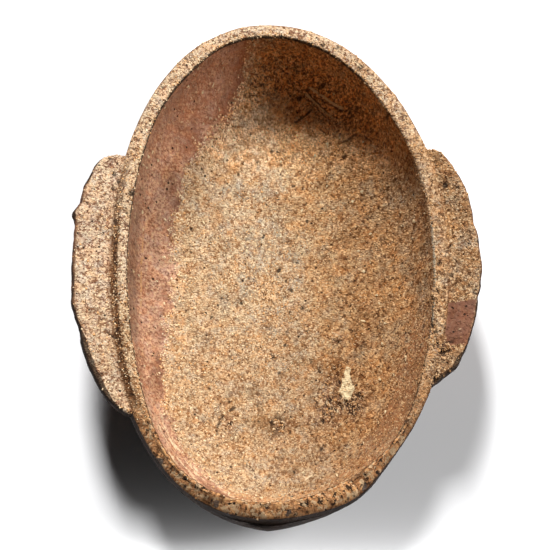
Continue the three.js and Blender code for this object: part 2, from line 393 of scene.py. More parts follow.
# Marks on the clay. Places are X and Y in mm on the dish's plan.
marks = {
    # where the smooth bare strip on the left inner wall ends: distance in from the mouth along Y
    "stripPlaces": (-60, -57, -55, -48, -37, -25, -14, 0, 22, 33, 46, 54, 58, 61),
    "stripWidths": (0, 2.6, 3.4, 4.4, 5.4, 6.8, 8.8, 10.6, 10.6, 10.2, 10.4, 11.4, 10.0, 7.0),
    # bare patch on the right ear: near and far end along Y, slant, and where it starts outward
    "patch": {"near": -20.3, "far": -8.6, "from": 43.4, "slant": 0.16},
    # groove beside the left ear: how far out from the mouth's edge, half width, depth
    "groove": (3.3, 0.95, 1.0),
    # single holes: x, y, radius, depth
    "holes": ((-34.4, 19.3, 0.75, 0.9), (44.3, 21.7, 0.75, 0.7), (-38.6, 24.6, 0.6, 0.5),
              (-38.9, 20.8, 0.55, 0.5), (-37.6, 22.8, 0.5, 0.4), (41.9, -6.2, 0.7, 0.5),
              (42.6, 1.0, 0.6, 0.5), (10.0, 20.2, 0.5, 0.4), (-17.0, 34.0, 0.5, 0.4),
              (19.6, 37.0, 0.6, 0.5), (9.0, 29.2, 0.5, 0.4), (14.3, 59.0, 0.6, 0.4),
              (40.6, -14.8, 0.8, 0.6), (16.2, 14.0, 0.4, 0.35), (-20.0, 12.0, 0.4, 0.35),
              (14.9, -28.4, 0.65, 0.6), (18.0, -28.5, 0.7, 0.6), (19.5, -27.8, 0.5, 0.4),
              (23.1, -26.4, 0.5, 0.5), (22.0, -28.6, 0.5, 0.4), (15.9, -31.8, 0.5, 0.4),
              (13.7, -33.0, 0.5, 0.4), (18.0, -22.4, 0.35, 0.3), (12.8, -19.4, 0.4, 0.5),
              (21.0, 46.8, 0.5, 0.4), (18.7, 47.9, 0.4, 0.3), (13.9, 53.6, 0.6, 0.3),
              (8.0, 51.8, 0.7, 0.15), (23.7, 52.8, 0.7, 0.5), (30.9, 41.2, 0.6, 0.4),
              (-29.0, -39.6, 0.45, 0.4)),
    # soft brown smears on the floor: x, y, half width, half height, strength
    "smears": ((1.0, -33.2, 6.0, 2.6, 0.6), (-12.2, -33.0, 1.4, 3.6, 0.6), (-6.0, -37.0, 4.5, 2.2, 0.4),
               (17.0, -21.0, 3.6, 6.5, 0.8), (10.8, -17.8, 2.4, 1.6, 0.7), (7.5, 24.5, 5.0, 3.4, 0.4),
               (25.0, -8.0, 5.0, 8.0, 0.5), (24.0, 18.0, 6.0, 9.0, 0.5), (-14.0, 20.0, 1.4, 5.0, 0.5),
               (9.0, -44.0, 7.0, 3.0, 0.35)),
    # raised light crumbs and curls: from x, y to x, y, half width
    "curls": ((16.3, -23.9, 15.8, -26.8, 0.36), (14.7, -27.2, 15.9, -29.6, 0.42),
              (12.4, -25.6, 11.8, -27.4, 0.24), (17.0, -10.6, 17.5, -11.2, 0.6),
              (18.2, -11.9, 18.8, -12.6, 0.42), (17.2, -15.7, 17.8, -15.8, 0.4),
              (18.4, -16.0, 18.8, -16.4, 0.36), (13.2, -27.9, 13.8, -28.0, 0.5),
              (18.8, -29.6, 19.4, -29.8, 0.42), (19.3, -30.8, 19.7, -31.1, 0.5),
              (12.2, -18.4, 13.6, -18.6, 0.3), (13.9, -19.2, 13.6, -20.4, 0.3),
              (11.5, -31.0, 11.7, -32.2, 0.28), (15.8, -30.6, 18.0, -30.4, 0.2)),
    # long marks: from x, y to x, y, half width, height above the clay, darkness (below 0 is light)
    "lines": ((10.4, 54.0, 19.4, 47.8, 0.24, 0.12, -1.2), (12.6, 51.6, 20.4, 47.0, 0.12, -0.2, 0.9),
              (9.5, 52.9, 17.0, 46.2, 0.20, 0.1, -1.2), (9.5, 53.4, 16.0, 47.6, 0.14, -0.2, 0.9),
              (9.0, 52.5, 16.4, 45.8, 0.12, -0.2, 0.8), (21.2, 54.8, 23.8, 52.6, 0.16, -0.1, -1.0),
              (13.1, 44.8, 15.4, 42.8, 0.14, -0.2, 0.8), (26.2, 38.6, 28.0, 36.8, 0.14, -0.1, -0.8),
              (6.5, 46.3, 11.8, 49.4, 0.24, -0.45, 1.0), (18.9, 40.6, 23.4, 41.9, 0.3, -0.3, 0.9),
              (24.6, 41.0, 27.0, 38.8, 0.18, -0.2, 0.9), (41.0, -16.4, 42.4, -21.2, 0.34, -0.6, 1.0),
              (41.8, -19.4, 46.2, -19.0, 0.34, -0.5, 1.0), (-6.0, -43.8, -3.4, -46.6, 0.16, -0.2, 0.8),
              (-40.3, -16.4, -36.8, -18.6, 0.24, -0.7, 1.0), (9.0, -49.6, 11.4, -47.8, 0.2, 0.3, -1.0),
              (8.6, -48.0, 10.0, -49.2, 0.14, 0.25, -1.0), (-1.6, -51.5, -4.4, -48.2, 0.13, -0.15, 0.7)),
    # arcs where the near floor turns up: from x, y over x, y to x, y, half width, height, darkness
    "arcs": ((-12.8, -36.4, -12.0, -32.6, -8.5, -29.2, 0.42, -0.35, 0.8),
             (-9.0, -30.3, -3.0, -31.6, 2.0, -31.0, 1.0, 0.3, 0.25),
             (3.0, -31.0, 9.0, -33.6, 15.0, -31.0, 1.0, 0.3, 0.3),
             (0.8, -33.4, 2.6, -32.2, 4.0, -34.2, 0.4, 0.35, 0.5),
             (0.8, -33.4, 2.4, -35.8, 4.0, -34.2, 0.4, 0.35, 0.5)),
    # smoked patches on the lip: x, y, radius
    "smoked": ((23.2, -56.4, 1.5), (24.6, -54.9, 1.1), (21.6, -57.6, 0.9), (32.6, -46.8, 0.6),
               (-26.6, -49.2, 0.9), (-12.5, -60.2, 0.9), (5.0, -62.6, 0.7)),
    # lime lump: x, y, radius of its lobes
    "lime": ((20.3, -19.4, 0.75), (20.1, -20.8, 0.95), (20.3, -22.3, 1.15), (20.4, -23.9, 1.55),
             (19.7, -25.2, 1.75), (20.2, -26.6, 1.15)),
    # rough crumbled places: x, y, radius, strength
    "crumbs": ((16.6, -29.0, 4.6, 1.0), (20.5, -29.5, 3.4, 1.0), (13.6, -32.2, 3.2, 0.8),
               (17.6, -23.6, 2.4, 0.7), (23.4, -26.8, 2.0, 0.8), (1.6, -15.6, 2.0, 0.9),
               (10.3, -8.6, 1.5, 0.8), (4.8, -13.6, 1.2, 0.8), (17.6, -11.0, 1.6, 0.8),
               (40.8, -6.6, 2.6, 0.8), (44.0, -20.6, 2.6, 1.0), (41.0, -19.0, 2.2, 1.0),
               (2.3, -34.6, 2.4, 0.6), (-9.6, -33.5, 2.6, 0.5), (24.8, -33.0, 2.4, 0.5)),
    "pitCount": 160,
    "seed": 11,
}


def fromMouth(points, angle):
    # plan distance out from the mouth's outline at the same angle; inside it the distance is negative
    lipX, lipY = oval(angle, *mouth)
    lipX = lipX + bowAt(lipY, dish["rimHeight"])
    away = np.hypot(points[:, 0] - lipX, points[:, 1] - lipY)
    outside = np.hypot(points[:, 0], points[:, 1]) > np.hypot(lipX, lipY)
    return np.where(outside, away, -away), lipX, lipY


def lineMark(points, x0, y0, x1, y1, halfWidth):
    # bell curve across a short line on the plan, wandering a little and fading at its ends
    along = np.array([x1 - x0, y1 - y0])
    length = np.hypot(*along)
    along = along / length
    away = points[:, :2] - (x0, y0)
    t = away @ along
    side = away @ np.array([-along[1], along[0]]) + 0.25 * (noise(points, 2.0, 57) - 0.5)
    ends = smooth(t, -0.4, 0.6) * smooth(length - t, -0.4, 0.6)
    return np.exp(-(side / halfWidth) ** 2) * ends


def arcMark(points, x0, y0, x1, y1, x2, y2, halfWidth):
    # bell curve round the nearest of 24 points on the curve (1-t)^2 a + 2t(1-t) b + t^2 c
    t = np.linspace(0, 1, 24)[:, None]
    pull = np.array((2 * x1 - (x0 + x2) / 2, 2 * y1 - (y0 + y2) / 2))
    curve = (1 - t) ** 2 * (x0, y0) + 2 * t * (1 - t) * pull + t ** 2 * (x2, y2)
    away = np.min([np.hypot(points[:, 0] - a, points[:, 1] - b) for a, b in curve], axis=0)
    away = away + 0.5 * (noise(points, 1.3, 58) - 0.5)
    return np.exp(-(away / halfWidth) ** 2)


def clayRelief(points, zone, angle, earParts):
    # heights to add along the normal, and the masks that the finish reads
    isEar, outShare, upShare = earParts
    x, y, z = points.T
    inner = (zone >= 3).astype(float)
    lip = (zone == 2).astype(float)
    earTop = isEar * smooth(upShare, 0.6, 0.95) * (zone == 1)
    top = np.clip(inner + lip + earTop, 0, 1)
    outer = 1 - top
    outward, lipX, lipY = fromMouth(points, angle)

    # bare strip on the left inner wall and bare patch on the right ear
    onLeft = np.where(lipY > 0, smooth(-lipX, -1.0, 13.0), smooth(-lipX, -4.0, 8.0))
    stripWidth = np.interp(lipY, marks["stripPlaces"], marks["stripWidths"])
    edge = -outward - stripWidth * onLeft + (1 - onLeft) * 6
    ragged = (edge + 2.6 * layeredNoise(points, 3.4, 3, 5)) / (1 + 0.6 * smooth(y, 28, 50))
    strip = inner * (1 - smooth(ragged, 0.5, 5.5))
    patch = marks["patch"]
    patchY = y + patch["slant"] * (x - 48)
    frayed = x + 1.5 * layeredNoise(points, 1.8, 2, 8)
    frayedY = patchY + 0.7 * layeredNoise(points, 1.5, 2, 9)
    patchShare = earTop * (x > 0) * smooth(frayedY, patch["near"] - 0.3, patch["near"] + 0.3)
    patchShare = patchShare * (1 - smooth(y, patch["far"] - 0.2, patch["far"] + 0.2)) \
        * smooth(frayed, patch["from"] - 0.6, patch["from"] + 0.8)
    bare = np.clip(strip + patchShare, 0, 1)

    # how much sand sticks: thin beside the strip, thinner on the far and right walls
    farWall = inner * smooth(y, 26, 50) * smooth(z, 5.5, 12)
    rightWall = (zone == 3) * smooth(x, 18, 33) * smooth(z, 9, 16)
    density = inner * smooth(ragged, -1.4, 3.6) + 0.78 * lip \
        + earTop * np.where(x < 0, 0.72, 0.85) + 0.01 * outer
    nearLip = smooth(-y, 24, 46)
    inward = -outward + layeredNoise(points, 5.0, 2, 28)
    nearBand = (zone == 3) * smooth(-y, 2, 20) * (1 - smooth(inward, 4.0, 7.5))
    density = density * (1 - patchShare) * (1 - 0.55 * farWall) * (1 - 0.35 * rightWall)
    density = density * (1 - 0.7 * nearBand) * (1 - 0.6 * lip * nearLip)
    density = np.clip(density, 0, 1)
    blotch = layeredNoise(points, 7.0, 2, 10) + 0.3 * smooth(y, 8, 22)
    stain = inner * onLeft * np.exp(-((ragged + 0.2) / 1.8) ** 2) * smooth(blotch, -0.1, 0.45)
    stain = np.clip(stain + 0.5 * farWall * onLeft, 0, 1)
    crust = smooth(density, 0.1, 0.6)

    relief = 0.30 * layeredNoise(points, 19.0, 2, 1) + 0.12 * layeredNoise(points, 6.5, 2, 2)
    relief += crust * 0.13 * layeredNoise(points, 1.9, 3, 3)
    relief += crust * 0.08 * (np.abs(layeredNoise(points, 1.1, 2, 4)) * 2 - 0.5)
    relief += (1 - crust) * 0.04 * layeredNoise(points, 1.4, 2, 6)
    relief -= 0.20 * inner * onLeft * (1 - smooth(ragged, -0.6, 1.2)) * smooth(edge, -4.0, -0.5)

    # wiping marks that run round the near wall and the lower left, level with the lip
    around = np.stack([angle * 9, edge * 0, (lipHeight(y) - z) * 1.9], axis=-1)
    wiping = layeredNoise(around, 1.5, 3, 7)
    relief += nearBand * 0.11 * wiping

    # chips and wear on the lip and on the ears' edges
    earEdge = isEar * (zone == 1) * (1 - np.abs(upShare)) ** 0.5
    bite = smooth(layeredNoise(points, 3.6, 3, 12), 0.12, 0.62)
    relief -= lip * (0.2 + 0.55 * nearLip) * bite + earEdge * 0.5 * bite
    ticks = np.stack([angle * 42, lip * 0, outward * 0.35], axis=-1)
    ticking = layeredNoise(ticks, 1.0, 2, 18)
    relief += lip * (0.10 * layeredNoise(points, 2.4, 3, 13) + nearLip * 0.30 * ticking)

    # groove between the left ear and the lip
    grooveAt, grooveHalf, grooveDepth = marks["groove"]
    nearEar = smooth(y, -37, -32) * (1 - smooth(y, 26, 30)) * (x < 0) * np.clip(lip + (zone == 1), 0, 1)
    shift = 0.35 * layeredNoise(points, 4.0, 2, 19)
    groove = nearEar * np.exp(-((outward - grooveAt - shift) / grooveHalf) ** 2) * smooth(z, 28, 29.5)
    groove = groove * (0.45 + 0.55 * smooth(-y, -16, -6))
    groove = groove * (0.8 + 0.35 * layeredNoise(points, 3.0, 2, 14))
    relief -= grooveDepth * groove
    nearRightEar = smooth(y, -22, -18) * (1 - smooth(y, 24, 30)) * (x > 0) \
        * (lip + (zone == 1) * (upShare > 0.5))
    faintGroove = 0.3 * nearRightEar * np.exp(-((outward - 2.9) / 0.7) ** 2)
    relief -= faintGroove

    dark = faintGroove * noise(points, 2.0, 27)
    light = np.zeros(len(points))

    # a grey band of painted shade along the mouth beside the left ear, where the rim's shadow falls, and
    # painted shade along the ears' outer edges
    band = onLeft * smooth(y, -18, -12) * (1 - 0.5 * smooth(y, 12, 30)) \
        * (1 - smooth(y, 44, 58)) * inner
    soot = band * (1 - smooth(-outward + 0.5 * layeredNoise(points, 3.0, 2, 22), 1.3, 2.6))
    reach = np.where(x < 0, earReach(ears["left"], y), earReach(ears["right"], y))
    edgeShadeWidth = np.where(x < 0, 0.3 + 1.4 * smooth(-y, 13, 20) * (1 - smooth(-y, 31, 36)),
                    0.25 + 1.3 * smooth(-y, 21, 24))
    # painted shade along the ears' outer edges, wider towards their near ends
    fromEdge = reach - outShare + 0.5 * layeredNoise(points, 2.2, 2, 34)
    wornEdge = (zone == 1) * isEar * (1 - smooth(fromEdge, edgeShadeWidth * 0.7, edgeShadeWidth * 1.3))
    wornEdge = wornEdge * smooth(upShare + 0.5 * layeredNoise(points, 1.6, 2, 36), -0.1, 0.5)

    power = dish["squareness"]
    for holeX, holeY, radius, depth in marks["holes"]:
        plainX = holeX - bowAt(holeY, dish["rimHeight"])
        onLip = abs(plainX / mouth[0]) ** power + abs(holeY / mouth[1]) ** power > 1
        bowl = np.exp(-((x - holeX) ** 2 + (y - holeY) ** 2) / radius ** 2)
        bowl = top * ((zone < 3) == onLip) * bowl
        relief -= depth * bowl
        dark = dark + 1.3 * bowl
    for x0, y0, x1, y1, halfWidth, height, darkness in marks["lines"]:
        relief += height * top * lineMark(points, x0, y0, x1, y1, halfWidth + 0.15)
    for x0, y0, x1, y1, halfWidth in marks["curls"]:
        curl = top * lineMark(points, x0, y0, x1, y1, halfWidth)
        relief += 0.45 * curl
        light = light + 1.1 * curl
    smoked = np.zeros(len(points))
    for smokedX, smokedY, radius in marks["smoked"]:
        patchAway = np.hypot(x - smokedX, y - smokedY) + 0.8 * layeredNoise(points, 1.6, 2, 24)
        smoked = np.maximum(smoked, top * (1 - smooth(patchAway, radius * 0.7, radius * 1.1)))
    for x0, y0, x1, y1, x2, y2, halfWidth, height, darkness in marks["arcs"]:
        mark = inner * arcMark(points, x0, y0, x1, y1, x2, y2, halfWidth)
        relief += height * mark
        dark = dark + mark * darkness
    rough = np.zeros(len(points))
    for crumbX, crumbY, radius, strength in marks["crumbs"]:
        away = (x - crumbX) ** 2 + (y - crumbY) ** 2
        rough = np.maximum(rough, top * strength * np.exp(-away / radius ** 2))
    rough = smooth(rough + 0.45 * layeredNoise(points, 2.4, 2, 20), 0.25, 0.85)
    crumble = layeredNoise(points, 1.2, 2, 15)
    relief += rough * 0.9 * crumble
    # painted shade in the crumbled hollows; the raised crumbs are paler
    dark = dark + 1.0 * rough * smooth(-crumble, -0.2, 0.3)
    light = light + 0.8 * rough * smooth(crumble, 0.2, 0.5)

    random = np.random.default_rng(marks["seed"])
    topPoints = np.flatnonzero((top > 0.9) & (bare < 0.5))
    for at in random.choice(topPoints, marks["pitCount"], replace=False):
        radius = random.uniform(0.3, 0.62)
        away = np.sum((points - points[at]) ** 2, axis=1)
        bowl = np.exp(-away / radius ** 2)
        relief -= random.uniform(0.15, 0.4) * bowl
        dark = dark + random.uniform(0.5, 1.2) * bowl

    lobes = sum(np.exp(-(((x - a) ** 2 + (y - b) ** 2) / r ** 2) ** 2) for a, b, r in marks["lime"])
    limeEdge = lobes + 0.7 * layeredNoise(points, 1.1, 2, 16)
    lime = inner * smooth(limeEdge, 0.35, 0.6)
    relief += lime * (0.7 + 0.5 * layeredNoise(points, 1.0, 2, 17))

    # shades: pale on the left ear, the far lip and the floor's middle; brown on the near lip, the
    # right ear and the far and right walls
    pale = lip * 0.85 * smooth(y, -22, 4) * (1 - 0.3 * smooth(x, 14, 26)) \
        * (1 - 0.8 * smooth(x, 27, 36) * (1 - smooth(y, 20, 36)))
    pale = pale + earTop * (x < 0) * (0.25 + 0.5 * smooth(y, -24, 8))
    greyFloor = np.exp(-(((x + 2) / 12) ** 2 + ((y - 12) / 21) ** 2) ** 1.5) * inner
    orange = inner * smooth(x + 0.2 * y + 5 * layeredNoise(points, 7.0, 2, 38), 6, 13)
    orange = orange * (1 - 0.5 * rightWall)
    brown = lip * nearLip * 0.95 + 0.75 * lip * smooth(x, 30, 41) * (1 - smooth(y, 26, 38)) \
        + earTop * (x > 0) * 0.8
    brown = brown + 0.35 * farWall + 0.35 * rightWall \
        + 0.36 * inner * smooth(x, 6, 26) * (1 - rightWall)
    brown = brown + 0.55 * inner * smooth(x, 4, 22) * smooth(-y, 2, 24)
    # the inner wall darker towards the near end, with the smears below added on
    smear = 0.3 * inner * smooth(-y, 6, 28)
    clouding = 0.5 * layeredNoise(points, 2.5, 2, 35)
    for smearX, smearY, halfX, halfY, strength in marks["smears"]:
        cloud = np.exp(-((x - smearX) / halfX) ** 2 - ((y - smearY) / halfY) ** 2)
        smear = smear + 0.9 * strength * inner * smooth(cloud + clouding, 0.3, 0.9)
    brown = np.maximum(brown, 1.25 * patchShare)
    flecked = np.clip(0.9 * earTop + lip, 0, 1) * (1 - patchShare)
    flecked = flecked * (1 - 0.45 * (zone < 3) * smooth(x, 30, 40))
    bare = np.maximum(bare, 0.8 * nearBand)
    ochre = nearBand * smooth(x, -16, 2) * (1 - 0.6 * smooth(x, 8, 24))
    ochre = ochre + 0.6 * farWall * (1 - onLeft)
    # painted light: how much paler the inner wall is painted at the far right, the far left and the far
    # end
    dusty = 0.9 * inner * smooth(x, 10, 24) * smooth(y, 24, 40) * smooth(z, 6, 14)
    dusty = dusty + 0.28 * inner * smooth(-x, 6, 18) * smooth(y, 20, 34) * smooth(z, 6, 13)
    dusty = dusty + 0.95 * inner * smooth(y, 28, 39)
    belowLip = lipHeight(y) - z
    # painted shade: a thin dark line where the lip meets the inner wall
    edgeLine = (zone >= 2) * (outward < 1.2) * (1 - smooth(belowLip, 0.9, 1.3)) * (1 - 0.3 * nearLip)
    edgeLine = edgeLine * (1 - 0.8 * smooth(lipX, 20, 30) * smooth(y, -10, 0))
    # painted shade in patches on the lip's rounded outer edge
    roundEdge = lip * (outward > 1) * smooth(belowLip, 0.25, 0.8)
    roundEdge = roundEdge * smooth(layeredNoise(points, 2.6, 2, 37), -0.35, 0.05)
    wiped = nearBand * smooth(-y, 26, 40) * (1 - 0.85 * smooth(x, -8, 8))
    # painted shade on the outside towards the near end, and under the near parts of the ears
    sooted = outer * np.maximum(smooth(-y, 2, 36), isEar * smooth(-y, 2, 18))
    grooved = nearEar * (0.5 + 0.5 * smooth(-y, -20, -8))
    greyEdge = smooth(lipX, 20, 30) * smooth(y, -24, -18) * (1 - smooth(y, 10, 16))
    masks = {
        "bare": bare, "sandiness": density, "stain": stain, "dark": dark, "light": light, "lime": lime,
        "outer": outer, "pale": pale, "greyFloor": greyFloor, "brown": brown, "soot": soot,
        "wiped": wiped, "rough": rough, "flecked": flecked, "ochre": ochre,
        "farWall": farWall * (1 - 0.9 * np.clip(strip, 0, 1)), "dusty": dusty, "smear": smear,
        "smoked": smoked, "leftEar": earTop * (x < 0), "sooted": sooted, "nearLip": lip * nearLip,
        "wornEdge": wornEdge, "grooved": grooved, "edgeLine": edgeLine, "roundEdge": roundEdge,
        "orange": orange, "band": band * smooth(y, -8, -4) * (1 - smooth(y, 12, 16)),
        "greyEdge": greyEdge, "lipPlace": (outward + 6) / 12, "around": angle / (2 * np.pi),
    }
    return relief, masks


# Wear that bends the clay, in mm. Angles are in radians from the right side towards the far end.
wear = {
    "lipDrop": 1.7,         # how far the near lip slants down outwards
    "bulgeAngle": 5.16,
    "bulgeWidth": 0.2,
    "bulgeRight": 1.7,      # how far the bulge at the near right stands out, and how far it leans near
    "bulgeNear": 0.5,
    # where the mouth is worn wider: angle, width, amount
    "widened": ((5.53, 0.36, 2.25), (4.08, 0.33, 1.4)),
    "farLip": 0.95,         # how much thicker inwards the far lip is
    "keel": 1.2,            # how far the near end stands out in a low keel
    "keelHalfWidth": 7,
}


def wornNearRim(points, zone, angle):
    # moves in mm: the near lip slants down outwards, its right part stands out in a low bulge, the
    # mouth is worn wider at the near left and near right, and the far lip is a little thicker inwards
    outward = fromMouth(points, angle)[0]
    nearLip = smooth(-points[:, 1], 22, 48)
    moves = np.zeros_like(points)
    slant = smooth(outward, 0.4, dish["lipNear"]) * (zone > 0)
    moves[:, 2] = -wear["lipDrop"] * nearLip * slant * smooth(points[:, 2], 24, 30)
    bulge = np.exp(-((angle - wear["bulgeAngle"]) / wear["bulgeWidth"]) ** 2)
    bulge = bulge * smooth(points[:, 2], 12, 27) * smooth(outward, 0.5, 2.5) * (zone < 3)
    moves[:, 0] = wear["bulgeRight"] * bulge
    moves[:, 1] = -wear["bulgeNear"] * bulge
    widening = sum(amount * np.exp(-((angle - at) / width) ** 2) for at, width, amount in wear["widened"])
    widening = widening - wear["farLip"] * smooth(angle, 0.45, 0.8) * (1 - smooth(angle, 2.15, 2.45))
    widening = widening * smooth(points[:, 2], 17, 29)
    widening = widening * (1 - smooth(outward, 0.5, dish["lipNear"] - 1.2)) * (zone >= 2)
    lengths = np.hypot(points[:, 0] / mouth[0] ** 2, points[:, 1] / mouth[1] ** 2)
    moves[:, 0] += widening * points[:, 0] / mouth[0] ** 2 / np.maximum(lengths, 1e-6)
    moves[:, 1] += widening * points[:, 1] / mouth[1] ** 2 / np.maximum(lengths, 1e-6)
    keel = np.exp(-np.abs(points[:, 0] / wear["keelHalfWidth"]) ** 1.3)
    keel = keel * smooth(-points[:, 1], 50, 60) * (zone < 2)
    moves[:, 1] -= wear["keel"] * keel * smooth(points[:, 2], 10, 20) * (1 - smooth(points[:, 2], 25, 31))
    return moves


def makeDish():
    points, quads, triangles, zone, angle, earParts = dishSurface()
    piece = meshObject("firedDish", points, quads.tolist() + triangles.tolist())
    relief, masks = clayRelief(points, zone, angle, earParts)
    flatFoot = smooth(points[:, 2], 0.0, 2.5)
    shaped = points + pointNormals(piece.data) * (relief * flatFoot)[:, None]
    shaped = shaped + wornNearRim(points, zone, angle)
    setPoints(piece.data, shaped)
    piece.data.polygons.foreach_set("use_smooth", np.ones(len(piece.data.polygons), bool))
    for name, values in masks.items():
        addMask(piece.data, name, values)
    print("dish:", len(quads) * 2 + len(triangles), "triangles")
    return piece, shaped, masks, zone


# Sand grains that stick to the crust, as small closed stones half sunk in the clay. Radii in mm.
sand = {
    "count": 24500,
    "smallest": 0.14,
    "largest": 0.40,
    "sunk": 0.30,
    "seed": 23,
}

# Coarse crumbs in the crumbled places and along the edge of the crust.
crumb = {
    "count": 5200,
    "smallest": 0.20,
    "largest": 0.52,
    "sunk": 0.25,
    "seed": 24,
}


def scatter(name, settings, weight, points, normals):
    # each stone is an octahedron with its own stretch and turn, set at a random weighted point
    random = np.random.default_rng(settings["seed"])
    count = settings["count"]
    at = random.choice(len(points), count, p=weight / weight.sum())
    span = settings["largest"] - settings["smallest"]
    radius = settings["smallest"] + span * random.random(count) ** 2.2
    jitter = random.normal(0, 0.22, (count, 3))
    jitter -= np.sum(jitter * normals[at], axis=1)[:, None] * normals[at]
    centre = points[at] + jitter - normals[at] * (radius * settings["sunk"])[:, None]
    corners = np.array([(1, 0, 0), (-1, 0, 0), (0, 1, 0), (0, -1, 0), (0, 0, 1), (0, 0, -1)], float)
    faces = np.array([(0, 2, 4), (2, 1, 4), (1, 3, 4), (3, 0, 4),
                      (2, 0, 5), (1, 2, 5), (3, 1, 5), (0, 3, 5)])
    turns = np.linalg.qr(random.normal(size=(count, 3, 3)))[0]
    turns[:, :, 0] *= np.sign(np.linalg.det(turns))[:, None]
    stretch = random.uniform(0.55, 1.25, (count, 6, 1))
    stones = np.einsum("nij,nkj->nki", turns, corners[None] * stretch) * radius[:, None, None]
    stonePoints = (stones + centre[:, None]).reshape(-1, 3)
    stoneFaces = (faces[None] + 6 * np.arange(count)[:, None, None]).reshape(-1, 3)
    piece = meshObject(name, stonePoints, stoneFaces.tolist())
    piece.data.polygons.foreach_set("use_smooth", np.ones(len(stoneFaces), bool))
    addMask(piece.data, "tone", np.repeat(random.random(count), 6))
    print(name, len(stoneFaces), "triangles")
    return piece


def sandWeight(points, masks, zone):
    # share of the grains at each point: the sand's density in clouds, thinned where rows lie close
    weight = masks["sandiness"] * (1 - 0.8 * masks["lime"]) * np.where(zone == 1, 0.6, 1.0)
    weight = weight * (1 - 0.95 * masks["nearLip"]) * (1 - masks["wornEdge"]) * (masks["outer"] < 0.6)
    return weight * (0.3 + 1.4 * noise(points, 5.0, 33) ** 2)


def crumbWeight(points, masks, zone):
    # crumbs lie in the rough places, and thinly along the edge of the crust
    border = (zone >= 3) * masks["bare"] * masks["sandiness"] * (1 - masks["sandiness"]) * 4
    thinly = 0.02 * masks["sandiness"]
    return (masks["rough"] * 1.6 * (1 - masks["lime"]) + border * 0.6 + thinly) * (masks["outer"] < 0.6)


class Wire:
    # an output socket that can stand in a sum: each operator adds its Math node
    def __init__(self, maker, socket):
        self.maker = maker
        self.socket = socket

    def other(self, name):
        return Wire(self.maker, self.socket.node.outputs[name])

    def math(self, operation, a, b):
        return self.maker.node("ShaderNodeMath", {"operation": operation}, {0: a, 1: b})

    def __add__(self, other):
        return self.math("ADD", self, other)

    def __sub__(self, other):
        return self.math("SUBTRACT", self, other)

    def __rsub__(self, other):
        return self.math("SUBTRACT", other, self)

    def __mul__(self, other):
        return self.math("MULTIPLY", self, other)

    __radd__ = __add__
    __rmul__ = __mul__


